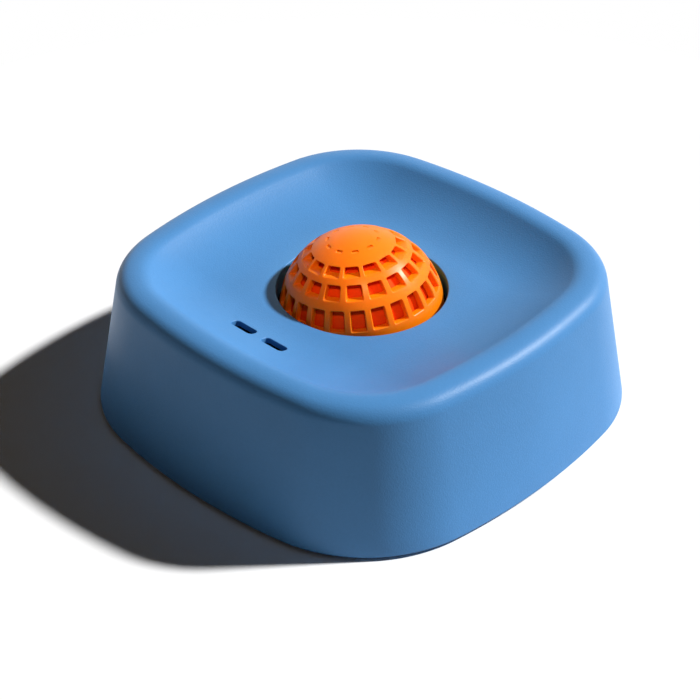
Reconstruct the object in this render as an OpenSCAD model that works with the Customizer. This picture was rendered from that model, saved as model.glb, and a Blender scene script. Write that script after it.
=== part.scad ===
// Dog lick bowl: a rounded-square cover with a dished top stands over a reservoir pan,
// and a windowed ball turns in the round hole of the dish and carries liquid up to the tongue.
// Millimetres, +Z up. The origin lies on the floor, midway between the four feet.
// The front is the side with the two drain slots, towards -Y.

/* [Cover outline] */
// Width of the cover at its lower edge, from the middle of one side to the other
body_w = 200; // [190:1:220]
// Radius of the four bowed sides at the lower edge
side_r = 278.5; // [220:0.5:400]
// Radius of the four corners at the lower edge
corner_r = 61; // [54:0.5:64]
// Lean of the skirt from upright, in degrees
skirt_draft = 10.4; // [6:0.1:13]
// Gap between the floor and the lower edge of the skirt
stand = 1.2; // [0.8:0.1:3]

/* [Cover rim and dish] */
// Height of the rim's crown above the skirt's lower edge
rim_h = 62.3; // [58:0.1:72]
// Wall thickness of the cover
cover_wall = 2.6; // [1.8:0.1:3.4]
// Radius that rolls the skirt over into the rim
rim_r = 7.5; // [5:0.1:10]
// Slope, in degrees, at which that roll runs out into the crown
rim_break = 15; // [8:1:25]
// Radius of the crown on its outer side
crown_out_r = 18; // [12:0.5:26]
// Radius of the crown on its inner side
crown_in_r = 9.5; // [6:0.5:14]
// Depth of the dish below the crown
dish_depth = 10.8; // [7:0.1:12]
// Width of the flat floor of the dish outside the corners' centres
dish_flat = 2; // [1.5:0.1:8]
// Radius of the rounded lower edge of the skirt
edge_r = 0.8; // [0.4:0.1:1.2]
// Radius of the rounded edge of the hole for the ball
hole_edge_r = 0.6; // [0.4:0.1:2]
// Thickness of the collar under the hole
collar_t = 2.4; // [1.6:0.1:3.2]
// Depth of the collar below the dish floor
collar_depth = 10; // [5:0.5:14]

/* [Drain slots] */
// Length of each drain slot
slot_l = 11.9; // [8:0.1:14]
// Width of each drain slot
slot_w = 4.7; // [4:0.1:6]
// Distance between the two drain slots, end to end
slot_gap = 5.3; // [3:0.1:10]
// Radius of the slots' corners
slot_corner_r = 1.7; // [0.5:0.1:1.8]
// Distance of the slots from the middle of the bowl, to the front
slot_y = 56.3; // [50:0.1:66]
// Distance of the middle of the two slots from the middle of the bowl, to the left
slot_left = 3.5; // [0:0.1:6]

/* [Ball] */
// Diameter of the ball
ball_d = 69.2; // [60:0.2:76]
// Wall thickness of the ball's two half shells
ball_wall = 2.6; // [2:0.1:3.4]
// Gap between the ball at its widest and the hole
ball_clear = 1.15; // [0.6:0.05:2]
// Height of the ball's lowest point over the pan's floor
under_ball = 2.9; // [2:0.1:6]
// Lean of the ball's poles from upright as it lies, in degrees
ball_lean = 7.4; // [0:0.1:30]
// Bearing that the upper pole leans towards, in degrees from +X
lean_bearing = 200; // [0:1:359]
// Number of windows in each row, from the equator up
window_count = [23, 18, 15, 10]; // [6:1:30]
// Width of the windows of each row, in degrees of bearing
window_angle = [10.6, 14, 18.5, 15.5]; // [4:0.1:24]
// Latitude of the lower edge of each row, in degrees
window_low = [14.5, 35.3, 51.1, 70.2]; // [10:0.1:80]
// Latitude of the upper edge of each row, in degrees
window_high = [28.3, 45.5, 58.9, 72.8]; // [12:0.1:82]
// Bearing of the first window of each row, in degrees
window_first = [0.5, 12.5, 22.7, 31]; // [0:0.1:60]
// Depth to which the windows are cut, as a radius from the ball's polar axis
window_core_r = 9; // [5:0.1:10]
// Height of the lap by which the half shells plug together
lap_h = 4; // [2:0.1:6]
// Gap between the plugged faces of the lap
lap_clear = 0.05; // [0.02:0.01:0.2]

/* [Float core] */
// Gap between the float core and the inside of the ball
core_clear = 0.5; // [0.3:0.05:1]
// Wall thickness of the float core
core_wall = 1.6; // [1:0.1:3]

/* [Pan] */
// Height of the pan's underside above the skirt's lower edge
pan_recess = 1; // [0.5:0.1:3]
// Height of the pan's flange, which carries the cover, above the pan's underside
pan_h = 45; // [36:0.5:49]
// Wall and floor thickness of the pan
pan_wall = 2.6; // [1.8:0.1:3.4]
// Lean of the pan's walls from upright, in degrees
pan_draft = 7; // [3:0.5:10]
// Gap between the pan's flange and the inside of the skirt
pan_gap = 1.4; // [0.8:0.1:2.5]
// Thickness of the flange
flange_t = 2.4; // [1.6:0.1:3.4]
// Height of the locating lip above the flange
lip_h = 3; // [1.5:0.1:5]
// Gap between the locating lip and the cover's rib
lip_clear = 0.4; // [0.3:0.05:1]
// Fillet between the pan's floor and its walls
pan_fillet = 8; // [4:0.5:12]
// Chamfer round the pan's underside
pan_chamfer = 2; // [0.5:0.1:2.4]
// Thickness of the cover's rib that stands on the flange
rib_t = 2.2; // [1.4:0.1:3]
// Distance of that rib from the flange's outer edge
rib_inset = 1.5; // [0.8:0.1:3]

/* [Ball seat] */
// Outer diameter of the ring of pads that the ball lies on
seat_d = 35; // [28:0.5:44]
// Width of the pads from the inside of the ring to the outside
seat_w = 4.5; // [3:0.1:7]
// Gap between the pads and the ball
seat_clear = 0.3; // [0.3:0.05:0.6]
// Number of pads in the ring
seat_pads = 4; // [3:1:6]
// Width of the channels between the pads
seat_channel = 9; // [5:0.5:14]

/* [Feet] */
// Diameter of the rubber feet
foot_d = 18; // [12:0.5:24]
// Distance of the feet from the middle of the bowl, along X and along Y
foot_xy = 50; // [40:0.5:54]
// Depth of the recess that holds each foot
foot_seat = 1; // [0.5:0.1:1.4]
// Gap round each foot in its recess
foot_clear = 0.1; // [0.05:0.05:0.3]
// Radius of the rounded lower edge of each foot
foot_edge_r = 0.6; // [0.2:0.1:1]

/* [Hidden] */
$fn = 96;
eps = 1;

// Points of an arc about a centre, from one angle to another
function arc(c, r, from, to, steps) =
    [for (i = [0 : steps]) c + r * [cos(from + (to - from) * i / steps), sin(from + (to - from) * i / steps)]];

// Outline: each side is an arc about a point beyond the middle of the bowl,
// and each corner an arc tangent to its two sides
side_c = body_w / 2 - side_r;
corner_c = (side_c + sqrt(2 * pow(side_r - corner_r, 2) - side_c * side_c)) / 2;
side_half = atan2(corner_c, corner_c - side_c);

// Where a side and a corner meet, the corner's end is plugged a little way into the side.
// There its section is smaller all round by a hundredth of a millimetre, so that it is buried in the wall
seam_lap = 0.5;
seam_step = 0.01;
seam_spare = seam_lap / corner_r * 180 / PI;

// Points of a closed outline without the repeats where one arc runs into the next
function distinct(points) =
    let (n = len(points))
    [for (i = [0 : n - 1]) if (norm(points[i] - points[(i + n - 1) % n]) > 1e-6) points[i]];

// A closed outline that runs clockwise, made smaller all round
function shrunk(points, by) =
    let (n = len(points))
    [for (i = [0 : n - 1])
        let (back = points[i] - points[(i + n - 1) % n],
             ahead = points[(i + 1) % n] - points[i],
             in_back = [back[1], -back[0]] / norm(back),
             in_ahead = [ahead[1], -ahead[0]] / norm(ahead))
        points[i] + by * (in_back + in_ahead) / (1 + in_back * in_ahead)];

plate_lap = 2;
sweep_in = corner_r - plate_lap / 2;

// Section of the cover, as inset from the outline against height
crown_z = stand + rim_h;
rim_c_z = crown_z - crown_out_r * (1 - cos(rim_break)) - rim_r * cos(rim_break);
rim_c = [(rim_c_z - stand) * tan(skirt_draft) + rim_r / cos(skirt_draft), rim_c_z];
crown_out_c = rim_c + (crown_out_r - rim_r) * [sin(rim_break), -cos(rim_break)];
crown_in_c = [crown_out_c[0], crown_z - crown_in_r];
dish_run = corner_r - dish_flat - crown_out_c[0];
dish_slope = 2 * atan(dish_depth / dish_run);
dish_r = dish_run / sin(dish_slope) - crown_in_r;
floor_z = crown_z - dish_depth;
dish_c = [corner_r - dish_flat, floor_z + dish_r];
edge_c = [edge_r * tan(skirt_draft) + edge_r / cos(skirt_draft), stand + edge_r];
skirt_wall = cover_wall / cos(skirt_draft);
roll_steps = 8;
crown_steps = 5;
dish_steps = 10;
edge_steps = 4;

// Inset of the inside of the skirt at a height
function skirt_inside(z) = skirt_wall + (z - stand) * tan(skirt_draft);

// Pan: its flange carries the rib of the cover, and its lip stands inside the rib
foot_h = stand + pan_recess;
pan_floor_z = foot_h + pan_wall;
flange_z = foot_h + pan_h;
flange_in = skirt_inside(flange_z) + pan_gap;
rib_in = flange_in + rib_inset;
lip_in = rib_in + rib_t + lip_clear;
pan_side = pan_wall / cos(pan_draft);
pan_middle_r = sqrt(2) * corner_c + 4 * plate_lap;

// Inset of the outside of the pan's wall at a height
function pan_outside(z) = lip_in + (flange_z - z) * tan(pan_draft);

pan_fillet_c = [pan_outside(pan_floor_z + pan_fillet) + pan_side + pan_fillet / cos(pan_draft),
                pan_floor_z + pan_fillet];

// Ball
ball_r = ball_d / 2;
hole_r = ball_r + ball_clear;
ball_z = pan_floor_z + under_ball + ball_r;
cavity_r = ball_r - ball_wall;
lap_r = ball_r - ball_wall / 2;
core_r = cavity_r - core_clear;
seat_r = seat_d / 2;
seat_top = ball_z - sqrt(pow(ball_r + seat_clear, 2) - seat_r * seat_r);

blue = [0.30, 0.53, 0.80];
black = [0.06, 0.06, 0.07];
orange = [0.96, 0.50, 0.10];
red_orange = [0.86, 0.20, 0.03];
rubber = [0.09, 0.09, 0.09];

// A clockwise section of [inset, height] points carried round the whole outline
module swept(section) {
    side = distinct(section);
    corner = shrunk(side, seam_step);
    for (turn = [0 : 90 : 270]) rotate(turn) {
        translate([side_c, 0, 0])
            rotate_extrude(angle = 2 * side_half, start = -side_half)
                polygon([for (p = side) [side_r - p[0], p[1]]]);
        translate([corner_c, corner_c, 0])
            rotate_extrude(angle = 90 - 2 * (side_half - seam_spare), start = side_half - seam_spare)
                polygon([for (p = corner) [corner_r - p[0], p[1]]]);
    }
}

// The flat middle of the dish, which the swept section leaves open
module dish_middle() {
    translate([0, 0, floor_z - cover_wall])
        linear_extrude(cover_wall)
            intersection_for(turn = [0 : 90 : 270])
                rotate(turn)
                    translate([side_c, 0])
                        circle(side_r - corner_r + plate_lap);
}

// Skirt, rim and dish: the outer face upwards and inwards, then the inner face back
module cover_shell() {
    inside = cover_wall;
    swept(concat(
        arc(edge_c, edge_r, 270, 180 - skirt_draft, edge_steps),
        arc(rim_c, rim_r, 180 - skirt_draft, 90 + rim_break, roll_steps),
        arc(crown_out_c, crown_out_r, 90 + rim_break, 90, crown_steps),
        arc(crown_in_c, crown_in_r, 90, 90 - dish_slope, crown_steps),
        arc(dish_c, dish_r, 270 - dish_slope, 270, dish_steps),
        [[sweep_in, floor_z], [sweep_in, floor_z - inside]],
        arc(dish_c, dish_r + inside, 270, 270 - dish_slope, dish_steps),
        arc(crown_in_c, crown_in_r - inside, 90 - dish_slope, 90, crown_steps),
        arc(crown_out_c, crown_out_r - inside, 90, 90 + rim_break, crown_steps),
        arc(rim_c, rim_r - inside, 90 + rim_break, 180 - skirt_draft, roll_steps),
        [[skirt_wall, stand]]));
    dish_middle();
}

// Rib under the rim that stands on the pan's flange
module cover_rib() {
    rib_top = rim_c[1] + rim_r - cover_wall / 2;
    swept([[rib_in, flange_z], [rib_in, rib_top], [rib_in + rib_t, rib_top], [rib_in + rib_t, flange_z]]);
}

module hole_collar() {
    rotate_extrude()
        translate([hole_r, floor_z - collar_depth])
            square([collar_t, collar_depth - cover_wall / 2]);
}

// The hole and its rounded upper edge
module hole_cut() {
    translate([0, 0, floor_z - collar_depth - eps])
        cylinder(r = hole_r, h = collar_depth + 2 * eps);
    rotate_extrude()
        difference() {
            translate([hole_r - eps, floor_z - hole_edge_r])
                square([hole_edge_r + eps, hole_edge_r + eps]);
            translate([hole_r + hole_edge_r, floor_z - hole_edge_r])
                circle(hole_edge_r);
        }
}

module slot_shape() {
    square([slot_l - 2 * slot_corner_r, slot_w], center = true);
    square([slot_l, slot_w - 2 * slot_corner_r], center = true);
    for (x = [-1, 1], y = [-1, 1])
        translate([x * (slot_l / 2 - slot_corner_r), y * (slot_w / 2 - slot_corner_r)])
            circle(slot_corner_r);
}

module slot_cuts() {
    for (side = [-1, 1])
        translate([side * (slot_l + slot_gap) / 2 - slot_left, -slot_y, floor_z - 2 * cover_wall])
            linear_extrude(dish_depth + 2 * cover_wall)
                slot_shape();
}

module top_cover() {
    color(blue)
        difference() {
            union() {
                cover_shell();
                cover_rib();
                hole_collar();
            }
            hole_cut();
            slot_cuts();
        }
}

// Floor, filleted walls, flange and locating lip of the pan
module pan_shell() {
    flange_low = flange_z - flange_t;
    lip_top = flange_z + lip_h;
    swept(concat(
        [[sweep_in, foot_h],
         [pan_outside(foot_h) + pan_chamfer, foot_h],
         [pan_outside(foot_h + pan_chamfer), foot_h + pan_chamfer],
         [pan_outside(flange_low), flange_low],
         [flange_in, flange_low],
         [flange_in, flange_z],
         [lip_in, flange_z],
         [lip_in, lip_top],
         [lip_in + pan_side, lip_top],
         [lip_in + pan_side, flange_z]],
        arc(pan_fillet_c, pan_fillet, 180 + pan_draft, 270, roll_steps),
        [[sweep_in, pan_floor_z]]));
    translate([0, 0, foot_h])
        cylinder(r = pan_middle_r, h = pan_wall);
}

// Ring of pads shaped to the ball, with channels between them
module ball_seat() {
    difference() {
        translate([0, 0, pan_floor_z - pan_wall / 2])
            cylinder(r = seat_r, h = seat_top - pan_floor_z + pan_wall / 2);
        translate([0, 0, pan_floor_z])
            cylinder(r = seat_r - seat_w, h = seat_top);
        translate([0, 0, ball_z])
            sphere(ball_r + seat_clear);
        for (i = [0 : seat_pads - 1])
            rotate(i * 360 / seat_pads)
                translate([0, -seat_channel / 2, pan_floor_z])
                    cube([seat_d, seat_channel, seat_top]);
    }
}

module at_feet() {
    for (x = [-1, 1], y = [-1, 1])
        translate([x * foot_xy, y * foot_xy, 0])
            children();
}

module base_pan() {
    color(black)
        difference() {
            union() {
                pan_shell();
                ball_seat();
            }
            at_feet()
                translate([0, 0, foot_h - eps])
                    cylinder(d = foot_d + 2 * foot_clear, h = foot_seat + eps);
        }
}

// Places the ball in the bowl with its poles leaning as it lies
module ball_place() {
    translate([0, 0, ball_z])
        rotate(lean_bearing)
            rotate([0, ball_lean, 0])
                rotate(-lean_bearing)
                    children();
}

// Upright-sided windows with level sills, in rows round the pole
module ball_windows() {
    for (row = [0 : len(window_count) - 1])
        for (i = [0 : window_count[row] - 1])
            rotate(window_first[row] + i * 360 / window_count[row] - window_angle[row] / 2)
                rotate_extrude(angle = window_angle[row])
                    translate([window_core_r, ball_r * sin(window_low[row])])
                        square([ball_r, ball_r * (sin(window_high[row]) - sin(window_low[row]))]);
}

// One half of a hollow ball, above its equator
module half_shell() {
    difference() {
        sphere(ball_r);
        sphere(cavity_r);
        translate([0, 0, -ball_d])
            cylinder(r = ball_d, h = ball_d);
        ball_windows();
    }
}

module ball_upper_half() {
    color(orange)
        ball_place()
            difference() {
                half_shell();
                translate([0, 0, -eps])
                    cylinder(r = lap_r, h = lap_h + eps);
            }
}

// The lower half carries the spigot that plugs into the upper one
module ball_lower_half() {
    color(orange)
        ball_place() {
            rotate([180, 0, 0])
                half_shell();
            difference() {
                cylinder(r = lap_r - lap_clear, h = lap_h - lap_clear);
                sphere(cavity_r);
            }
        }
}

// Closed float inside the ball, seen through the windows
module ball_core() {
    color(red_orange)
        translate([0, 0, ball_z])
            difference() {
                sphere(core_r);
                sphere(core_r - core_wall);
            }
}

module foot(x, y) {
    foot_r = foot_d / 2;
    color(rubber)
        translate([x * foot_xy, y * foot_xy, 0])
            rotate_extrude()
                polygon(concat(
                    [[0, 0]],
                    arc([foot_r - foot_edge_r, foot_edge_r], foot_edge_r, 270, 360, edge_steps),
                    [[foot_r, foot_h + foot_seat], [0, foot_h + foot_seat]]));
}

module foot_front_left() { foot(-1, -1); }
module foot_front_right() { foot(1, -1); }
module foot_rear_left() { foot(-1, 1); }
module foot_rear_right() { foot(1, 1); }

top_cover();
base_pan();
ball_upper_half();
ball_lower_half();
ball_core();
foot_front_left();
foot_front_right();
foot_rear_left();
foot_rear_right();
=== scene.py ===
"""Dog lick bowl: a rounded-square blue cover with a dished top over a black reservoir pan,
and a windowed orange ball, with a float core inside, that turns in the round hole of the dish.

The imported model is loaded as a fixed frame, and each of its pieces is modelled again in full
detail at the same place. Lengths are in metres, in the frame's own axes.
"""

import math
from types import SimpleNamespace

import bmesh
import bpy
from bpy.props import FloatProperty, FloatVectorProperty, IntVectorProperty, PointerProperty
from mathutils import Matrix, Vector


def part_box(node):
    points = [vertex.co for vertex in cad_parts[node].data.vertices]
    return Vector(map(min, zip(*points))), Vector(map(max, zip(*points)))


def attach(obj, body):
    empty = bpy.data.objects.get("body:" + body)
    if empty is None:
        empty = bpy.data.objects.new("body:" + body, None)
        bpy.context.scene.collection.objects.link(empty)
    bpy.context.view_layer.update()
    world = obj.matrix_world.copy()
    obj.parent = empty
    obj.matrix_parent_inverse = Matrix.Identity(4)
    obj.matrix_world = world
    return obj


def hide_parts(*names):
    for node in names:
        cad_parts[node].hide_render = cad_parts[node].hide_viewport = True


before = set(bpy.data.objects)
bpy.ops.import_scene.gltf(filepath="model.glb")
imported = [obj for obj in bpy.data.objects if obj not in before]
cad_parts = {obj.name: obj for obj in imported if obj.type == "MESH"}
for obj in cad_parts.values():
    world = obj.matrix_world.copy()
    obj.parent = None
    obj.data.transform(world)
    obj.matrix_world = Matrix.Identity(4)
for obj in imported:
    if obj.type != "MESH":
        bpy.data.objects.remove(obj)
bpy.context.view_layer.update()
COVER_LOW, COVER_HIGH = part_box("top_cover")
FOOT_LOW, FOOT_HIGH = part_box("foot_rear_right")
CORE_LOW, CORE_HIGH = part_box("ball_core")

bl_info = {
    "name": "Dog Lick Bowl",
    "version": (1, 0, 0),
    "blender": (4, 5, 0),
    "location": "View3D > Sidebar > Lick Bowl",
    "description": "Models a dog lick bowl with a rolling windowed ball round its packed frame",
    "category": "Object",
}

MM = 0.001
TINY = 1e-9
# Angle between faces from which an edge is shaded as sharp
SHARP = math.radians(35)
# Width of the camera's sensor, in millimetres as Blender takes it, and where its view starts
SENSOR = 36.0
CLIP_START = 10 * MM

# Points of each side and corner of the outline, and round each turned piece
SIDE_STEPS = 20
CORNER_STEPS = 28
ROUND_STEPS = 144
FOOT_STEPS = 72
RECESS_STEPS = 64
FLOOR_STEPS = 96

# Parts of the arcs and straight runs that make up the sections
PARTS = SimpleNamespace(
    edge=6, skirt=7, roll=14, crown_outer=8, crown_inner=9, dish=18,
    dish_back=12, crown_back=6, roll_back=12, skirt_back=6,
    hole_edge=8, hole_wall=4, dish_middle=5, dish_under=4, slot_corner=5,
    window_corner=4, half_ball=40, half_core=36, bead=20,
    chamfer=3, pan_wall=5, fillet=12, pan_floor=4, pad_across=6, pad_along=12,
    foot_edge=6, floor=3)

# Turns at which a softened edge is stepped, from the wall outwards
LIP_TURNS = [math.radians(a) for a in (0, 25, 50, 75)]
# Most that the corners and the lip of a low window take of half its height
WINDOW_CORNER_SHARE = 0.6
WINDOW_LIP_SHARE = 0.25
# Latitude at which the weld bead of the core has run out, and the width of its swell
BEAD_REACH = math.radians(4.0)
BEAD_WIDTH = BEAD_REACH / 3
# Places of the grip grooves, as shares of a foot's radius
GROOVES = (0.36, 0.68)

# Patterns in the plastic, in features to the metre
TONE_PATCHES = 26.0
FLOW_MARKS = 140.0
FLECKS = 900.0
# Weight of the flecks against the patches, and strength of the grain's bump
FLECK_SHARE = 0.3
GRAIN_STRENGTH = 0.35
# How far red, green and blue light wander in milky plastic, as shares of a depth
MILKY_SHARES = (1.0, 0.4, 0.1)
MILKY_DEPTH = 4 * MM
# Values between which most of a noise pattern lies
NOISE_LOW = 0.3
NOISE_HIGH = 0.7


def length(name, description, millimetres):
    """A length setting, given in millimetres and kept in metres."""
    return FloatProperty(name=name, description=description, default=millimetres * MM,
                         min=0.0, precision=5, unit="LENGTH")


def bearing(name, description, degrees):
    """An angle setting, given in degrees and kept in radians."""
    return FloatProperty(name=name, description=description, default=math.radians(degrees),
                         subtype="ANGLE", unit="ROTATION")


def bearings(name, description, degrees):
    """A row of angle settings, given in degrees and kept in radians."""
    return FloatVectorProperty(name=name, description=description, size=len(degrees),
                               default=[math.radians(a) for a in degrees], unit="ROTATION")


def location(name, description, default):
    """A place, in metres."""
    return FloatVectorProperty(name=name, description=description, default=default,
                               size=3, unit="LENGTH")


def amount(name, description, default):
    """A plain number that is never negative."""
    return FloatProperty(name=name, description=description, default=default, min=0.0)


def share(name, description, default):
    """A setting between nothing and all."""
    return FloatProperty(name=name, description=description, default=default,
                         min=0.0, max=1.0, subtype="FACTOR")


def tint(name, description, default):
    """A colour setting, in linear light."""
    return FloatVectorProperty(name=name, description=description, default=default,
                               size=3, min=0.0, max=1.0, subtype="COLOR")


class CoverSettings(bpy.types.PropertyGroup):
    """Sizes and finish of the top cover"""

    width: length("Width", "Width of the skirt at its lower edge, before that is rounded", 200.0)
    side_radius: length("Side Radius", "Radius of the four bowed sides", 278.5)
    corner_radius: length("Corner Radius", "Radius of the four corners", 61.0)
    skirt_lean: bearing("Skirt Lean", "Lean of the skirt from upright", 10.4)
    stand: length("Stand", "Gap between the floor and the skirt", COVER_LOW.z / MM)
    crown: length("Crown Height", "Height of the rim's crown over the floor", COVER_HIGH.z / MM)
    wall: length("Wall", "Thickness of the moulding", 2.6)
    rim_radius: length("Rim Radius", "Radius that rolls the skirt into the rim", 7.5)
    rim_break: bearing("Rim Break", "Slope at which the roll runs into the crown", 15.0)
    crown_outer: length("Outer Crown Radius", "Radius of the crown on its outer side", 18.0)
    crown_inner: length("Inner Crown Radius", "Radius of the crown on its inner side", 9.5)
    dish_depth: length("Dish Depth", "Depth of the dish below the crown", 10.8)
    dish_flat: length("Dish Flat", "Width of the dish's flat floor beyond the corners", 2.0)
    edge_round: length("Edge Round", "Radius of the skirt's lower edge", 0.8)
    hole_radius: length("Hole Radius", "Radius of the hole for the ball", 35.75)
    hole_round: length("Hole Round", "Radius of the hole's upper edge", 0.6)
    collar_wall: length("Collar Wall", "Thickness of the collar under the hole", 2.4)
    collar_depth: length("Collar Depth", "Depth of the collar below the dish floor", 10.0)
    slot_length: length("Slot Length", "Length of each drain slot", 11.9)
    slot_width: length("Slot Width", "Width of each drain slot", 4.7)
    slot_gap: length("Slot Gap", "Distance between the drain slots, end to end", 5.3)
    slot_corner: length("Slot Corner", "Radius of the slots' corners", 1.7)
    slot_reach: length("Slot Reach", "Distance of the slots from the middle, to the front", 56.3)
    slot_left: length("Slot Left", "Distance of the slots' middle from the bowl's, to the left", 3.5)
    slot_lip: length("Slot Lip", "Radius of the slots' softened upper edge", 0.35)
    colour: tint("Colour", "Blue of the moulded plastic", (0.074, 0.260, 0.565))
    roughness: share("Roughness", "Roughness of the satin surface", 0.42)


class BallSettings(bpy.types.PropertyGroup):
    """Sizes and finish of the windowed ball and its float core"""

    centre: length("Centre Height", "Height of the ball's centre over the floor",
                   (CORE_LOW.z + CORE_HIGH.z) / 2 / MM)
    radius: length("Radius", "Radius of the ball", 34.6)
    wall: length("Wall", "Thickness of the half shells", 2.6)
    lean: bearing("Lean", "Lean of the ball's poles from upright", 7.4)
    lean_bearing: bearing("Lean Bearing", "Bearing that the upper pole leans towards", 200.0)
    window_count: IntVectorProperty(name="Windows", description="Windows in each row, from the seam up",
                                    size=4, default=(23, 18, 15, 10), min=3)
    window_width: bearings("Window Widths", "Width of the windows of each row", (10.6, 14.0, 18.5, 15.5))
    window_low: bearings("Window Sills", "Latitude of each row's lower edge", (14.5, 35.3, 51.1, 70.2))
    window_high: bearings("Window Heads", "Latitude of each row's upper edge", (28.3, 45.5, 58.9, 72.8))
    window_first: bearings("First Windows", "Bearing of each row's first window", (0.5, 12.5, 22.7, 31.0))
    window_corner: length("Window Corner", "Radius of the windows' corners", 0.45)
    window_lip: length("Window Lip", "Radius of the windows' softened outer edge", 0.5)
    window_core: length("Window Depth", "Radius from the polar axis that the windows are cut to", 9.0)
    lap_height: length("Lap Height", "Height of the lap that joins the half shells", 4.0)
    lap_clear: length("Lap Clearance", "Gap between the faces of the lap", 0.05)
    seam_round: length("Seam Round", "Softened edge along the seam of the half shells", 0.25)
    core_radius: length("Core Radius", "Radius of the float core",
                        (CORE_HIGH.z - CORE_LOW.z) / 2 / MM)
    core_bead: length("Core Bead", "Height of the weld bead round the float core", 0.14)
    colour: tint("Colour", "Orange of the half shells", (0.95, 0.215, 0.002))
    # The core's red-orange is partly its own colour and partly painted bounce light: the deeper red of
    # light bounced inside the orange ball
    core_colour_and_bounce: tint("Core Colour", "Red-orange of the float core", (0.95, 0.075, 0.002))
    roughness: share("Roughness", "Roughness of the half shells", 0.36)
    core_roughness: share("Core Roughness", "Roughness of the float core", 0.55)


class PanSettings(bpy.types.PropertyGroup):
    """Sizes and finish of the reservoir pan and its feet"""

    under: length("Underside", "Height of the pan's underside over the floor", 2.2)
    height: length("Height", "Height of the flange over the pan's underside", 45.0)
    wall: length("Wall", "Thickness of the pan's walls and floor", 2.6)
    lean: bearing("Wall Lean", "Lean of the pan's walls from upright", 7.0)
    gap: length("Flange Gap", "Gap between the flange and the inside of the skirt", 1.4)
    flange: length("Flange", "Thickness of the flange", 2.4)
    lip_height: length("Lip Height", "Height of the locating lip over the flange", 3.0)
    lip_clear: length("Lip Clearance", "Gap between the locating lip and the cover's rib", 0.4)
    fillet: length("Fillet", "Fillet between the pan's floor and walls", 8.0)
    chamfer: length("Chamfer", "Chamfer round the pan's underside", 2.0)
    rib: length("Rib", "Thickness of the cover's rib that stands on the flange", 2.2)
    rib_inset: length("Rib Inset", "Distance of that rib from the flange's outer edge", 1.5)
    soft_edge: length("Soft Edge", "Radius of the pan's softened edges", 0.5)
    seat_radius: length("Seat Radius", "Outer radius of the ring of ball pads", 17.5)
    seat_width: length("Seat Width", "Width of the ball pads", 4.5)
    seat_clear: length("Seat Clearance", "Gap between the pads and the ball", 0.3)
    seat_channel: length("Seat Channel", "Width of the channels between the pads", 9.0)
    foot_seat: length("Foot Seat", "Depth of the recess that holds each foot", 1.0)
    foot_clear: length("Foot Clearance", "Gap round each foot in its recess", 0.1)
    foot_round: length("Foot Round", "Radius of the feet's lower edge", 0.6)
    groove: length("Grip Groove", "Depth of the grip grooves under the feet", 0.35)
    colour: tint("Colour", "Black of the pan", (0.012, 0.012, 0.014))
    foot_colour: tint("Foot Colour", "Black of the rubber feet", (0.016, 0.016, 0.016))
    roughness: share("Roughness", "Roughness of the pan", 0.45)
    foot_roughness: share("Foot Roughness", "Roughness of the rubber feet", 0.72)


class StageSettings(bpy.types.PropertyGroup):
    """Floor, light and camera"""

    floor_radius: length("Floor Radius", "Radius of the round floor", 360.0)
    floor_colour: tint("Floor Colour", "Colour of the floor", (1.0, 1.0, 1.0))
    floor_bounce: share("Floor Bounce", "Share of its light that the floor throws on the object", 0.78)
    key_bearing: bearing("Key Bearing", "Bearing of the key light from +X", 57.2)
    key_height: bearing("Key Height", "Height of the key light over the horizon", 41.0)
    key_spread: bearing("Key Spread", "Angle that the key light fills, which softens its shadow", 4.0)
    key_strength: amount("Key Strength", "Strength of the key light", 4.8)
    snoot_bearing: bearing("Snoot Bearing", "Bearing of the narrow lamp on the ball from +X", -40.0)
    snoot_height: bearing("Snoot Height", "Height of the narrow lamp over the horizon", 58.0)
    snoot_cone: bearing("Snoot Cone", "Angle of the narrow lamp's cone", 6.8)
    snoot_blend: share("Snoot Blend", "Share of that cone in which the light fades", 0.5)
    snoot_distance: length("Snoot Distance", "Distance of the narrow lamp from the ball", 600.0)
    snoot_size: length("Snoot Size", "Radius of the narrow lamp, which softens its shadow", 10.0)
    snoot_strength: amount("Snoot Strength", "Power of the narrow lamp", 8.0)
    snoot_colour: tint("Snoot Colour", "Warm white of the narrow lamp", (1.0, 0.54, 0.28))
    fill: amount("Fill", "Strength of the even light from all round", 0.034)
    fill_colour: tint("Fill Colour", "Warm white of the even light", (1.0, 0.80, 0.55))
    eye: location("Eye", "Place of the camera", (0.475956, -0.505967, 0.512648))
    aim: location("Aim", "Point that the camera looks at", (-0.003608, -0.003444, 0.020399))
    lens: amount("Lens", "Focal length on a 36 mm sensor, in millimetres", 103.12)


def arc(centre, radius, start, end, steps):
    """Points of an arc about a centre, from one angle to another, in radians."""
    turns = [start + (end - start) * i / steps for i in range(steps + 1)]
    return [(centre[0] + radius * math.cos(t), centre[1] + radius * math.sin(t)) for t in turns]


def spread(start, end, parts):
    """Points that part a straight run, without its ends."""
    return [(start[0] + (end[0] - start[0]) * i / parts, start[1] + (end[1] - start[1]) * i / parts)
            for i in range(1, parts)]


def height_on(points, inset):
    """Height at which a run of points of rising or falling inset passes an inset."""
    for (a, low), (b, high) in zip(points, points[1:]):
        if min(a, b) <= inset <= max(a, b) and a != b:
            return low + (high - low) * (inset - a) / (b - a)
    raise ValueError("the section has no point at that inset")


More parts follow.
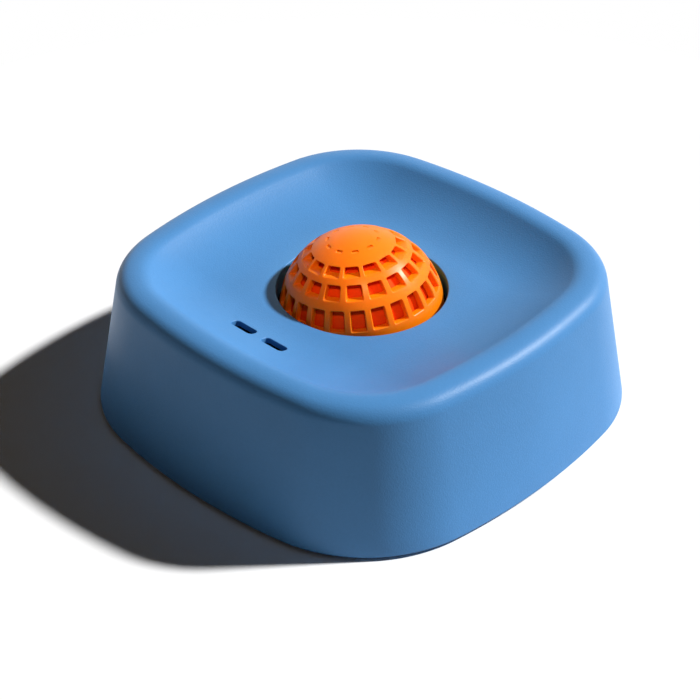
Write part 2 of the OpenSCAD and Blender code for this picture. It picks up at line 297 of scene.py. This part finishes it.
class Outline:
    """Rounded square of four bowed sides and four tangent corners, as columns of points."""

    def __init__(self, cover):
        self.side_c = cover.width / 2 - cover.side_radius
        reach = cover.side_radius - cover.corner_radius
        corner_c = (self.side_c + math.sqrt(2 * reach ** 2 - self.side_c ** 2)) / 2
        half = math.atan2(corner_c, corner_c - self.side_c)
        side = [(self.side_c, 0.0, cover.side_radius, half * (2 * i / SIDE_STEPS - 1))
                for i in range(SIDE_STEPS)]
        corner = [(corner_c, corner_c, cover.corner_radius,
                   half + (math.pi / 2 - 2 * half) * i / CORNER_STEPS) for i in range(CORNER_STEPS)]
        self.columns = []
        for quarter in range(4):
            turn = Matrix.Rotation(quarter * math.pi / 2, 2)
            for x, y, radius, facing in side + corner:
                centre = turn @ Vector((x, y))
                out = turn @ Vector((math.cos(facing), math.sin(facing)))
                self.columns.append((centre, out, radius))

    def ring(self, inset, height):
        """The outline moved inwards, at a height."""
        return [(*(centre + out * (radius - inset)), height) for centre, out, radius in self.columns]

    def round_ring(self, radius, height):
        """A circle with as many points as the outline, at a height."""
        count = len(self.columns)
        turns = [2 * math.pi * (i - SIDE_STEPS / 2) / count for i in range(count)]
        return [(radius * math.cos(t), radius * math.sin(t), height) for t in turns]


def between(ring, other, parts):
    """Rings that part the way from one ring to another, without these two."""
    return [[Vector(a).lerp(Vector(b), i / parts) for a, b in zip(ring, other)]
            for i in range(1, parts)]


def turned(profile, count=ROUND_STEPS):
    """Rings of a profile of radius and height turned about the upright axis."""
    rings = []
    for radius, height in profile:
        if radius < TINY:
            rings.append([(0.0, 0.0, height)])
            continue
        turns = [2 * math.pi * i / count for i in range(count)]
        rings.append([(radius * math.cos(t), radius * math.sin(t), height) for t in turns])
    return rings


def skin(mesh, rings, closed=False, capped=False):
    """Faces between neighbouring rings; a ring of one point closes them as a fan."""
    rows = [[mesh.verts.new(point) for point in ring] for ring in rings]
    pairs = list(zip(rows, rows[1:]))
    if closed:
        pairs.append((rows[-1], rows[0]))
    for low, high in pairs:
        count = max(len(low), len(high))
        for i in range(count):
            j = (i + 1) % count
            if len(low) == 1:
                mesh.faces.new((low[0], high[j], high[i]))
            elif len(high) == 1:
                mesh.faces.new((low[i], low[j], high[0]))
            else:
                mesh.faces.new((low[i], low[j], high[j], high[i]))
    if capped:
        mesh.faces.new(rows[0][::-1])
        mesh.faces.new(rows[-1])


def make_object(name, build, place=None):
    """A new object whose mesh is filled by a function and moved to its place."""
    mesh = bmesh.new()
    build(mesh)
    bmesh.ops.recalc_face_normals(mesh, faces=mesh.faces)
    data = bpy.data.meshes.new(name)
    mesh.to_mesh(data)
    mesh.free()
    if place is not None:
        data.transform(place)
    piece = bpy.data.objects.new(name, data)
    bpy.context.scene.collection.objects.link(piece)
    return piece


def combine(piece, tool, operation):
    """Cuts a tool's shape from a piece or joins it on, and removes the tool."""
    step = piece.modifiers.new("combine", "BOOLEAN")
    step.operation = operation
    step.solver = "EXACT"
    step.object = tool
    bpy.context.view_layer.update()
    seen = piece.evaluated_get(bpy.context.evaluated_depsgraph_get())
    data = bpy.data.meshes.new_from_object(seen)
    piece.modifiers.clear()
    old = piece.data
    piece.data = data
    data.name = piece.name
    bpy.data.meshes.remove(old)
    spent = tool.data
    bpy.data.objects.remove(tool)
    bpy.data.meshes.remove(spent)
    if not data.polygons:
        raise RuntimeError(f"nothing was left of {piece.name}")


def shade(piece):
    """Smooth shading with crisp edges where faces meet sharply."""
    data = piece.data
    data.polygons.foreach_set("use_smooth", [True] * len(data.polygons))
    data.set_sharp_from_angle(angle=SHARP)


def round_normals(piece, centre, radii):
    """True ball normals on the faces that lie on spheres of these radii about a centre."""
    data = piece.data
    near = 0.02 * MM
    normals = [Vector((0.0, 0.0, 0.0)) for loop in data.loops]
    for face in data.polygons:
        rays = [data.vertices[v].co - centre for v in face.vertices]
        for radius in radii:
            if all(abs(ray.length - radius) < near for ray in rays):
                way = 1.0 if face.normal.dot(rays[0]) > 0 else -1.0
                for loop, ray in zip(face.loop_indices, rays):
                    normals[loop] = ray.normalized() * way
    data.normals_split_custom_set(normals)


def settle(piece, finish, body, node):
    """Gives a piece its finish and ties it to the frame."""
    piece.data.materials.clear()
    piece.data.materials.append(finish)
    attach(piece, body)
    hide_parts(node)


def add_node(tree, kind, **values):
    """A shader node with some of its inputs set."""
    node = tree.nodes.new(kind)
    for key, value in values.items():
        node.inputs[key.replace("_", " ")].default_value = value
    return node


def noise(tree, place, scale, detail, roughness):
    """A noise pattern of a given fineness, in features to the metre."""
    node = add_node(tree, "ShaderNodeTexNoise", Scale=scale, Detail=detail, Roughness=roughness)
    tree.links.new(place.outputs["Object"], node.inputs["Vector"])
    return node.outputs["Fac"]


def ranged(tree, source, low, high):
    """A pattern brought between two values."""
    node = add_node(tree, "ShaderNodeMapRange", From_Min=NOISE_LOW, From_Max=NOISE_HIGH,
                    To_Min=low, To_Max=high)
    tree.links.new(source, node.inputs["Value"])
    return node.outputs["Result"]


def moulded(name, colour, roughness, tone, rough_drift, grain, grain_depth=0.012,
            specular=0.5, milky=0.0):
    """Moulded plastic or rubber: drifting tone, flow marks in the gloss and a fine grain.

    The grain is given in features to the metre, and its depth in millimetres.
    Milky plastic lets a share of the light wander a few millimetres inside it.
    """
    material = bpy.data.materials.new(name)
    material.use_nodes = True
    tree = material.node_tree
    shader = tree.nodes["Principled BSDF"]
    place = tree.nodes.new("ShaderNodeTexCoord")
    drift = noise(tree, place, TONE_PATCHES, detail=3.0, roughness=0.55)
    fleck = noise(tree, place, FLECKS, detail=2.0, roughness=0.5)
    flow = noise(tree, place, FLOW_MARKS, detail=4.0, roughness=0.6)
    fine = noise(tree, place, grain, detail=3.0, roughness=0.6)
    shades = tree.nodes.new("ShaderNodeMix")
    shades.data_type = "RGBA"
    shades.inputs["A"].default_value = (*[c * (1 - tone) for c in colour], 1.0)
    shades.inputs["B"].default_value = (*[min(1.0, c * (1 + tone)) for c in colour], 1.0)
    blend = add_node(tree, "ShaderNodeMath")
    blend.operation = "MULTIPLY_ADD"
    blend.inputs[1].default_value = FLECK_SHARE
    tree.links.new(ranged(tree, fleck, -1.0, 1.0), blend.inputs[0])
    tree.links.new(ranged(tree, drift, 0.0, 1.0), blend.inputs[2])
    tree.links.new(blend.outputs[0], shades.inputs["Factor"])
    tree.links.new(shades.outputs["Result"], shader.inputs["Base Color"])
    tree.links.new(ranged(tree, flow, roughness - rough_drift, roughness + rough_drift),
                   shader.inputs["Roughness"])
    bump = add_node(tree, "ShaderNodeBump", Strength=GRAIN_STRENGTH, Distance=grain_depth * MM)
    tree.links.new(fine, bump.inputs["Height"])
    tree.links.new(bump.outputs["Normal"], shader.inputs["Normal"])
    shader.inputs["Specular IOR Level"].default_value = specular
    shader.inputs["Subsurface Weight"].default_value = milky
    shader.inputs["Subsurface Radius"].default_value = MILKY_SHARES
    shader.inputs["Subsurface Scale"].default_value = MILKY_DEPTH
    return material


def rib_insets(cover, pan):
    """Insets of the flange's edge, of the rib's two faces and of the locating lip."""
    flange_top = pan.under + pan.height
    inside = cover.wall / math.cos(cover.skirt_lean)
    flange = inside + (flange_top - cover.stand) * math.tan(cover.skirt_lean) + pan.gap
    outer = flange + pan.rib_inset
    inner = outer + pan.rib
    return SimpleNamespace(flange=flange, outer=outer, inner=inner, lip=inner + pan.lip_clear,
                           height=flange_top)


def cover_section(c):
    """Outer face of the cover from the lower edge to the dish's floor, and its inner face back."""
    lean = c.skirt_lean
    up = math.pi / 2
    down = 3 * up
    rim_z = c.crown - c.crown_outer * (1 - math.cos(c.rim_break)) - c.rim_radius * math.cos(c.rim_break)
    rim = ((rim_z - c.stand) * math.tan(lean) + c.rim_radius / math.cos(lean), rim_z)
    step = c.crown_outer - c.rim_radius
    outer = (rim[0] + step * math.sin(c.rim_break), rim[1] - step * math.cos(c.rim_break))
    inner = (outer[0], c.crown - c.crown_inner)
    flat = c.corner_radius - c.dish_flat
    run = flat - outer[0]
    slope = 2 * math.atan(c.dish_depth / run)
    dish_r = run / math.sin(slope) - c.crown_inner
    floor = c.crown - c.dish_depth
    dish = (flat, floor + dish_r)
    edge = (c.edge_round * math.tan(lean) + c.edge_round / math.cos(lean), c.stand + c.edge_round)
    skirt_end = math.pi - lean
    roll_end = up + c.rim_break
    low = arc(edge, c.edge_round, down, skirt_end, PARTS.edge)
    roll = arc(rim, c.rim_radius, skirt_end, roll_end, PARTS.roll)
    top = (arc(outer, c.crown_outer, roll_end, up, PARTS.crown_outer)
           + arc(inner, c.crown_inner, up, up - slope, PARTS.crown_inner)[1:]
           + arc(dish, dish_r, down - slope, down, PARTS.dish)[1:])
    face = low + spread(low[-1], roll[0], PARTS.skirt) + roll + top[1:]
    w = c.wall
    back = (arc(dish, dish_r + w, down, down - slope, PARTS.dish_back)
            + arc(inner, c.crown_inner - w, up - slope, up, PARTS.crown_back)[1:]
            + arc(outer, c.crown_outer - w, up, roll_end, PARTS.crown_back)[1:]
            + arc(rim, c.rim_radius - w, roll_end, skirt_end, PARTS.roll_back)[1:])
    foot = (w / math.cos(lean), c.stand)
    return SimpleNamespace(face=face, top=top, back=back, foot=foot, floor=floor, flat=flat)


def with_rib(back, ribs, soft):
    """The inner face with the rib hung from it that stands on the pan's flange."""
    before = [p for p in back if p[0] > ribs.inner]
    after = [p for p in back if p[0] < ribs.outer]
    down = (ribs.inner, height_on(back, ribs.inner))
    up = (ribs.outer, height_on(back, ribs.outer))
    low = ribs.height
    rib = [down, (ribs.inner, low + soft), (ribs.inner - soft, low),
           (ribs.outer + soft, low), (ribs.outer, low + soft), up]
    return before + rib + after


def rounded_box(half_x, half_y, corner, steps):
    """Points round a rectangle with rounded corners."""
    points = []
    for quarter, (sx, sy) in enumerate(((1, 1), (-1, 1), (-1, -1), (1, -1))):
        centre = (sx * (half_x - corner), sy * (half_y - corner))
        points += arc(centre, corner, quarter * math.pi / 2, (quarter + 1) * math.pi / 2, steps)
    return points


def lip_steps(lip):
    """How far a softened edge has opened, and how deep it still is, from the wall outwards."""
    return [(lip * (1 - math.cos(t)), lip * (1 - math.sin(t))) for t in LIP_TURNS]


def slot_tools(mesh, c, section, outline):
    """Cutters for the two drain slots, with lips that follow the dish."""
    side_y = -outline.side_c

    def surface(x, y):
        return height_on(section.top, c.side_radius - math.hypot(x, y - side_y))

    stages = [(0.0, 3 * c.wall)] + lip_steps(c.slot_lip)
    stages.append((stages[-1][0], -c.wall))
    for side in (-1, 1):
        mid = side * (c.slot_length + c.slot_gap) / 2 - c.slot_left
        rings = []
        for grow, depth in stages:
            shape = rounded_box(c.slot_length / 2 + grow, c.slot_width / 2 + grow, c.slot_corner + grow,
                                PARTS.slot_corner)
            places = [(mid + x, y - c.slot_reach) for x, y in shape]
            rings.append([(x, y, surface(x, y) - depth) for x, y in places])
        skin(mesh, rings, capped=True)


def cover_rings(c, pan, section, outline):
    """Rings of the whole cover: up the outside, into the dish, down the hole and back inside."""
    rings = [outline.ring(*p) for p in section.face]
    collar_low = section.floor - c.collar_depth
    under = section.floor - c.wall
    collar_out = c.hole_radius + c.collar_wall
    soft = pan.soft_edge
    hole_c = (c.hole_radius + c.hole_round, section.floor - c.hole_round)
    hole = arc(hole_c, c.hole_round, math.pi / 2, math.pi, PARTS.hole_edge)
    hole += spread(hole[-1], (c.hole_radius, collar_low), PARTS.hole_wall)
    hole += [(c.hole_radius, collar_low + soft), (c.hole_radius + soft, collar_low),
             (collar_out - soft, collar_low), (collar_out, collar_low + soft), (collar_out, under)]
    hole_rings = [outline.round_ring(*p) for p in hole]
    rings += between(rings[-1], hole_rings[0], PARTS.dish_middle) + hole_rings
    inside = with_rib(section.back, rib_insets(c, pan), soft / 2)
    inside += spread(inside[-1], section.foot, PARTS.skirt_back)
    inside += [(section.foot[0] + soft / 2 * math.tan(c.skirt_lean), c.stand + soft / 2),
               (section.foot[0] - soft / 2, c.stand)]
    inside_rings = [outline.ring(*p) for p in inside]
    return rings + between(hole_rings[-1], inside_rings[0], PARTS.dish_under) + inside_rings


class LICKBOWL_OT_cover(bpy.types.Operator):
    """Model the blue cover: skirt, rolled rim, dish, hole with its collar, drain slots and rib"""

    bl_idname = "lickbowl.cover"
    bl_label = "Cover"

    def execute(self, context):
        c = context.scene.lickbowl_cover
        pan = context.scene.lickbowl_pan
        outline = Outline(c)
        section = cover_section(c)
        piece = make_object("cover_moulding",
                            lambda mesh: skin(mesh, cover_rings(c, pan, section, outline), closed=True))
        tool = make_object("slot_tool", lambda mesh: slot_tools(mesh, c, section, outline))
        combine(piece, tool, "DIFFERENCE")
        shade(piece)
        finish = moulded("cover_satin_blue", c.colour, c.roughness, tone=0.035, rough_drift=0.02,
                         grain=1500.0, grain_depth=0.3, specular=0.26)
        settle(piece, finish, "cover", "top_cover")
        return {"FINISHED"}


def window_tools(mesh, b):
    """Cutters for the rows of windows: radial sides, level sills and softened outer edges."""
    stages = lip_steps(b.window_lip)
    for row in range(len(b.window_count)):
        low = b.radius * math.sin(b.window_low[row])
        high = b.radius * math.sin(b.window_high[row])
        mid = (low + high) / 2
        reach = math.sqrt(b.radius ** 2 - mid ** 2)
        half_x = reach * b.window_width[row] / 2
        half_z = (high - low) / 2
        corner = min(b.window_corner, half_z * WINDOW_CORNER_SHARE)
        lip = min(1.0, half_z * WINDOW_LIP_SHARE / b.window_lip)
        for i in range(b.window_count[row]):
            facing = b.window_first[row] + 2 * math.pi * i / b.window_count[row]

            def ring(grow, ball=None):
                points = []
                shape = rounded_box(half_x + grow, half_z + grow, corner + grow, PARTS.window_corner)
                for x, z in shape:
                    level = mid + z
                    out = b.window_core if ball is None else math.sqrt(ball ** 2 - level ** 2)
                    turn = facing + x / reach
                    points.append((out * math.cos(turn), out * math.sin(turn), level))
                return points

            rings = [ring(0.0)]
            rings += [ring(grow * lip, b.radius - depth * lip) for grow, depth in stages]
            rings.append(ring(stages[-1][0] * lip, b.radius + b.wall))
            skin(mesh, rings, capped=True)


def half_shell(b, spigot):
    """Profile of one half of the ball, pole to pole through its seam; the spigot's half plugs in."""
    cavity = b.radius - b.wall
    lap = b.radius - b.wall / 2
    soft = b.seam_round
    start = math.asin(soft / b.radius)
    outer = arc((0.0, 0.0), b.radius, math.pi / 2, start, PARTS.half_ball)
    seam = [(b.radius - soft, 0.0)]
    if spigot:
        reach = b.lap_height - b.lap_clear
        face = lap - b.lap_clear
        lip = soft / 2
        seam += [(face, 0.0), (face, lip - reach), (face - lip, -reach)]
        inner_start = -math.asin(reach / cavity)
    else:
        seam += [(lap, 0.0), (lap, b.lap_height)]
        inner_start = math.asin(b.lap_height / cavity)
    inner = arc((0.0, 0.0), cavity, inner_start, math.pi / 2, PARTS.half_ball)
    profile = outer + seam + inner
    return [(0.0 if abs(radius) < TINY else radius, height) for radius, height in profile]


class LICKBOWL_OT_ball(bpy.types.Operator):
    """Model the two orange half shells of the ball, with their rows of windows and their lap"""

    bl_idname = "lickbowl.ball"
    bl_label = "Ball Shells"

    def execute(self, context):
        b = context.scene.lickbowl_ball
        centre = Vector((0.0, 0.0, b.centre))
        lean = (Matrix.Translation(centre) @ Matrix.Rotation(b.lean_bearing, 4, "Z")
                @ Matrix.Rotation(b.lean, 4, "Y") @ Matrix.Rotation(-b.lean_bearing, 4, "Z"))
        finish = moulded("ball_orange", b.colour, b.roughness, tone=0.04, rough_drift=0.05,
                         grain=3200.0, specular=0.20, milky=0.35)
        halves = (("upper", False, lean), ("lower", True, lean @ Matrix.Rotation(math.pi, 4, "X")))
        for half, spigot, place in halves:
            profile = half_shell(b, spigot)
            piece = make_object(f"ball_shell_{half}", lambda mesh: skin(mesh, turned(profile)), place)
            tool = make_object("window_tool", lambda mesh: window_tools(mesh, b), place)
            combine(piece, tool, "DIFFERENCE")
            shade(piece)
            round_normals(piece, centre, (b.radius, b.radius - b.wall))
            settle(piece, finish, "ball", f"ball_{half}_half")
        return {"FINISHED"}


class LICKBOWL_OT_core(bpy.types.Operator):
    """Model the float core with the weld bead round its middle, in a red-orange that is partly painted
    bounce light from inside the ball
    """

    bl_idname = "lickbowl.core"
    bl_label = "Float Core"

    def execute(self, context):
        b = context.scene.lickbowl_ball
        runs = ((-math.pi / 2, -BEAD_REACH, PARTS.half_core), (-BEAD_REACH, BEAD_REACH, PARTS.bead),
                (BEAD_REACH, math.pi / 2, PARTS.half_core))
        profile = [(0.0, -b.core_radius)]
        for start, end, steps in runs:
            for i in range(1, steps + 1):
                turn = start + (end - start) * i / steps
                swell = b.core_bead * math.exp(-(turn / BEAD_WIDTH) ** 2)
                out = b.core_radius + swell
                profile.append((out * math.cos(turn), b.core_radius * math.sin(turn)))
        profile[-1] = (0.0, b.core_radius)
        place = Matrix.Translation((0.0, 0.0, b.centre))
        piece = make_object("float_core", lambda mesh: skin(mesh, turned(profile)), place)
        shade(piece)
        # Red-orange of the core, partly painted bounce light: the redder glow seen through the ball's
        # windows
        finish = moulded("core_red_orange_painted_bounce", b.core_colour_and_bounce, b.core_roughness, tone=0.06, rough_drift=0.06,
                         grain=2000.0, specular=0.06, milky=0.3)
        settle(piece, finish, "core", "ball_core")
        return {"FINISHED"}


def pan_rings(c, p, outline):
    """Rings of the pan: from the middle of its underside, up the outside and back to the middle."""
    ribs = rib_insets(c, p)
    top = ribs.height
    floor = p.under + p.wall
    side = p.wall / math.cos(p.lean)
    soft = p.soft_edge
    flange_low = top - p.flange
    lip_top = top + p.lip_height

    def outside(z):
        return ribs.lip + (top - z) * math.tan(p.lean)

    fillet_z = floor + p.fillet
    fillet_c = (outside(fillet_z) + side + p.fillet / math.cos(p.lean), fillet_z)
    chamfer_z = p.under + p.chamfer
    chamfer = ((outside(p.under) + p.chamfer, p.under), (outside(chamfer_z), chamfer_z))
    under_flange = (outside(flange_low), flange_low)
    lip_in = ribs.lip + side
    outer = [chamfer[0], *spread(*chamfer, PARTS.chamfer), chamfer[1]]
    outer += spread(chamfer[1], under_flange, PARTS.pan_wall)
    outer += [under_flange, (ribs.flange + soft, flange_low),
              (ribs.flange, flange_low + soft), (ribs.flange, top - soft), (ribs.flange + soft, top),
              (ribs.lip, top), (ribs.lip, lip_top - soft), (ribs.lip + soft, lip_top),
              (lip_in - soft, lip_top), (lip_in, lip_top - soft), (lip_in, top)]
    hollow = arc(fillet_c, p.fillet, math.pi + p.lean, 3 * math.pi / 2, PARTS.fillet)
    inner = spread(outer[-1], hollow[0], PARTS.pan_wall) + hollow
    rings = [outline.ring(*point) for point in outer + inner]
    hub_low = outline.round_ring(c.hole_radius / 2, p.under)
    hub_high = outline.round_ring(c.hole_radius / 2, floor)
    below = [[(0.0, 0.0, p.under)], hub_low] + between(hub_low, rings[0], PARTS.pan_floor)
    above = between(rings[-1], hub_high, PARTS.pan_floor) + [hub_high, [(0.0, 0.0, floor)]]
    return below + rings + above


def seat_pads(mesh, p, b):
    """Four pads whose tops are hollowed to the ball, standing a little way in the pan's floor."""
    ball = b.radius + p.seat_clear
    half = p.seat_channel / 2
    low = p.under + p.wall / 2
    across = PARTS.pad_across
    along = PARTS.pad_along
    radii = [p.seat_radius - p.seat_width * i / across for i in range(across + 1)]
    for quarter in range(4):
        rings = []
        for i in range(along + 1):
            tops = []
            for radius in radii:
                start = math.asin(half / radius)
                turn = quarter * math.pi / 2 + start + (math.pi / 2 - 2 * start) * i / along
                height = b.centre - math.sqrt(ball ** 2 - radius ** 2)
                tops.append((radius * math.cos(turn), radius * math.sin(turn), height))
            bottoms = [(x, y, low) for x, y, z in reversed(tops)]
            rings.append(tops + bottoms)
        skin(mesh, rings, capped=True)


def foot_holes(mesh, p, spots):
    """Cutters for the recesses of the feet."""
    radius = (FOOT_HIGH.x - FOOT_LOW.x) / 2 + p.foot_clear
    roof = p.under + p.foot_seat
    for x, y in spots:
        rings = [[(x + px, y + py, z) for px, py, z in ring]
                 for ring in turned([(radius, 0.0), (radius, roof)], RECESS_STEPS)]
        skin(mesh, rings, capped=True)


def foot_spots():
    """Middles of the four feet, with the name of each."""
    spot = (FOOT_LOW + FOOT_HIGH) / 2
    return {"front_left": (-spot.x, -spot.y), "front_right": (spot.x, -spot.y),
            "rear_left": (-spot.x, spot.y), "rear_right": (spot.x, spot.y)}


class LICKBOWL_OT_pan(bpy.types.Operator):
    """Model the black reservoir pan: floor, filleted walls, flange, locating lip and ball pads"""

    bl_idname = "lickbowl.pan"
    bl_label = "Reservoir Pan"

    def execute(self, context):
        c = context.scene.lickbowl_cover
        b = context.scene.lickbowl_ball
        p = context.scene.lickbowl_pan
        piece = make_object("pan_moulding", lambda mesh: skin(mesh, pan_rings(c, p, Outline(c))))
        combine(piece, make_object("pad_tool", lambda mesh: seat_pads(mesh, p, b)), "UNION")
        spots = foot_spots().values()
        combine(piece, make_object("recess_tool", lambda mesh: foot_holes(mesh, p, spots)), "DIFFERENCE")
        shade(piece)
        finish = moulded("pan_satin_black", p.colour, p.roughness, tone=0.12, rough_drift=0.06,
                         grain=1800.0, grain_depth=0.02)
        settle(piece, finish, "pan", "base_pan")
        return {"FINISHED"}


class LICKBOWL_OT_feet(bpy.types.Operator):
    """Model the four rubber feet, with rounded edges and grip grooves"""

    bl_idname = "lickbowl.feet"
    bl_label = "Feet"

    def execute(self, context):
        p = context.scene.lickbowl_pan
        radius = (FOOT_HIGH.x - FOOT_LOW.x) / 2
        top = FOOT_HIGH.z
        profile = [(0.0, 0.0)]
        depth = p.groove
        for middle in GROOVES:
            r = radius * middle
            profile += [(r - 2 * depth, 0.0), (r - depth, depth),
                        (r + depth, depth), (r + 2 * depth, 0.0)]
        edge = (radius - p.foot_round, p.foot_round)
        profile += arc(edge, p.foot_round, -math.pi / 2, 0.0, PARTS.foot_edge)
        profile += [(radius, top - depth), (radius - depth, top), (0.0, top)]
        finish = moulded("foot_rubber", p.foot_colour, p.foot_roughness, tone=0.15, rough_drift=0.08,
                         grain=1500.0, grain_depth=0.03, specular=0.35)
        for name, (x, y) in foot_spots().items():
            place = Matrix.Translation((x, y, 0.0))
            piece = make_object(f"foot_pad_{name}",
                                lambda mesh: skin(mesh, turned(profile, FOOT_STEPS)), place)
            shade(piece)
            settle(piece, finish, "pan", f"foot_{name}")
        return {"FINISHED"}


def shown_rays(tree):
    """One for a ray from the eye or by way of a gloss or a clear piece, and nothing for others."""
    path = tree.nodes.new("ShaderNodeLightPath")
    shown = path.outputs["Is Camera Ray"]
    for other in ("Is Glossy Ray", "Is Transmission Ray"):
        either = tree.nodes.new("ShaderNodeMath")
        either.operation = "MAXIMUM"
        tree.links.new(shown, either.inputs[0])
        tree.links.new(path.outputs[other], either.inputs[1])
        shown = either.outputs[0]
    return shown


def floor_finish(colour, bounce):
    """Matt white card that throws back only a share of the light that falls on it."""
    material = bpy.data.materials.new("floor_card")
    material.use_nodes = True
    tree = material.node_tree
    shader = tree.nodes["Principled BSDF"]
    shader.inputs["Roughness"].default_value = 0.9
    shader.inputs["Specular IOR Level"].default_value = 0.05
    card = tree.nodes.new("ShaderNodeMix")
    card.data_type = "RGBA"
    card.inputs["A"].default_value = (*[c * bounce for c in colour], 1.0)
    card.inputs["B"].default_value = (*colour, 1.0)
    tree.links.new(shown_rays(tree), card.inputs["Factor"])
    tree.links.new(card.outputs["Result"], shader.inputs["Base Color"])
    return material


def white_round_about(world, fill, fill_colour):
    """Plain white to the eye and in reflections, and a low even light on the object."""
    world.use_nodes = True
    tree = world.node_tree
    tree.nodes.clear()
    out = tree.nodes.new("ShaderNodeOutputWorld")
    mix = tree.nodes.new("ShaderNodeMixShader")
    white = (1.0, 1.0, 1.0, 1.0)
    even = add_node(tree, "ShaderNodeBackground", Color=(*fill_colour, 1.0), Strength=fill)
    seen = add_node(tree, "ShaderNodeBackground", Color=white, Strength=1.0)
    tree.links.new(shown_rays(tree), mix.inputs["Fac"])
    tree.links.new(even.outputs[0], mix.inputs[1])
    tree.links.new(seen.outputs[0], mix.inputs[2])
    tree.links.new(mix.outputs[0], out.inputs["Surface"])


def lamp(data, facing, height, centre, distance):
    """Hangs a lamp at a bearing from +X and a height over the horizon, turned towards a point."""
    flat = math.cos(height)
    out = Vector((flat * math.cos(facing), flat * math.sin(facing), math.sin(height)))
    hung = bpy.data.objects.new(data.name, data)
    hung.rotation_mode = "QUATERNION"
    hung.rotation_quaternion = out.to_track_quat("Z", "Y")
    hung.location = Vector(centre) + out * distance
    bpy.context.scene.collection.objects.link(hung)


def lay_floor(s):
    """Round floor that the object stands on."""
    profile = [(s.floor_radius * i / PARTS.floor, 0.0) for i in range(PARTS.floor, -1, -1)]
    floor = make_object("floor", lambda mesh: skin(mesh, turned(profile, FLOOR_STEPS)))
    floor.data.materials.append(floor_finish(s.floor_colour, s.floor_bounce))


def hang_lamps(s, b):
    """Key light on all of the object, and a narrow warm lamp on the ball."""
    key = bpy.data.lights.new("key", "SUN")
    key.energy = s.key_strength
    key.angle = s.key_spread
    lamp(key, s.key_bearing, s.key_height, (0.0, 0.0, 0.0), distance=1.0)

    snoot = bpy.data.lights.new("snoot", "SPOT")
    snoot.energy = s.snoot_strength
    snoot.color = s.snoot_colour
    snoot.spot_size = s.snoot_cone
    snoot.spot_blend = s.snoot_blend
    snoot.shadow_soft_size = s.snoot_size
    ball = (0.0, 0.0, b.centre + b.radius / 2)
    lamp(snoot, s.snoot_bearing, s.snoot_height, ball, s.snoot_distance)


def set_camera(scene, s):
    """Camera at the photograph's viewing angle."""
    lens = bpy.data.cameras.new("camera")
    lens.lens = s.lens
    lens.sensor_width = SENSOR
    lens.clip_start = CLIP_START
    eye = bpy.data.objects.new("camera", lens)
    eye.location = s.eye
    eye.rotation_mode = "QUATERNION"
    eye.rotation_quaternion = (Vector(s.aim) - Vector(s.eye)).to_track_quat("-Z", "Y")
    scene.collection.objects.link(eye)
    scene.camera = eye


class LICKBOWL_OT_stage(bpy.types.Operator):
    """Lay the pale floor and set the key light, the lamp on the ball, the even fill and the camera"""

    bl_idname = "lickbowl.stage"
    bl_label = "Stage"

    def execute(self, context):
        scene = context.scene
        s = scene.lickbowl_stage
        lay_floor(s)
        hang_lamps(s, scene.lickbowl_ball)
        if scene.world is None:
            scene.world = bpy.data.worlds.new("studio")
        white_round_about(scene.world, s.fill, s.fill_colour)
        scene.view_settings.view_transform = "Standard"
        set_camera(scene, s)
        return {"FINISHED"}


class LICKBOWL_PT_panel(bpy.types.Panel):
    """Sizes, colours and building steps of the lick bowl"""

    bl_idname = "LICKBOWL_PT_panel"
    bl_label = "Dog Lick Bowl"
    bl_space_type = "VIEW_3D"
    bl_region_type = "UI"
    bl_category = "Lick Bowl"

    def draw(self, context):
        for operator in OPERATORS:
            self.layout.operator(operator.bl_idname)
        for group, kind in SETTINGS.items():
            box = self.layout.box()
            values = getattr(context.scene, group)
            for name in kind.__annotations__:
                box.prop(values, name)


OPERATORS = (LICKBOWL_OT_pan, LICKBOWL_OT_feet, LICKBOWL_OT_core, LICKBOWL_OT_ball,
             LICKBOWL_OT_cover, LICKBOWL_OT_stage)
SETTINGS = {"lickbowl_cover": CoverSettings, "lickbowl_ball": BallSettings, "lickbowl_pan": PanSettings,
            "lickbowl_stage": StageSettings}


def register():
    """Make the settings and the building steps known to Blender."""
    for kind in (*SETTINGS.values(), *OPERATORS, LICKBOWL_PT_panel):
        bpy.utils.register_class(kind)
    for group, kind in SETTINGS.items():
        setattr(bpy.types.Scene, group, PointerProperty(type=kind))


def unregister():
    """Take them away again."""
    for group in SETTINGS:
        delattr(bpy.types.Scene, group)
    for kind in (LICKBOWL_PT_panel, *OPERATORS[::-1], *SETTINGS.values()):
        bpy.utils.unregister_class(kind)


def main():
    """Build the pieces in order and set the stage."""
    register()
    bpy.ops.lickbowl.pan()
    bpy.ops.lickbowl.feet()
    bpy.ops.lickbowl.core()
    bpy.ops.lickbowl.ball()
    bpy.ops.lickbowl.cover()
    bpy.ops.lickbowl.stage()


if __name__ == "__main__":
    main()
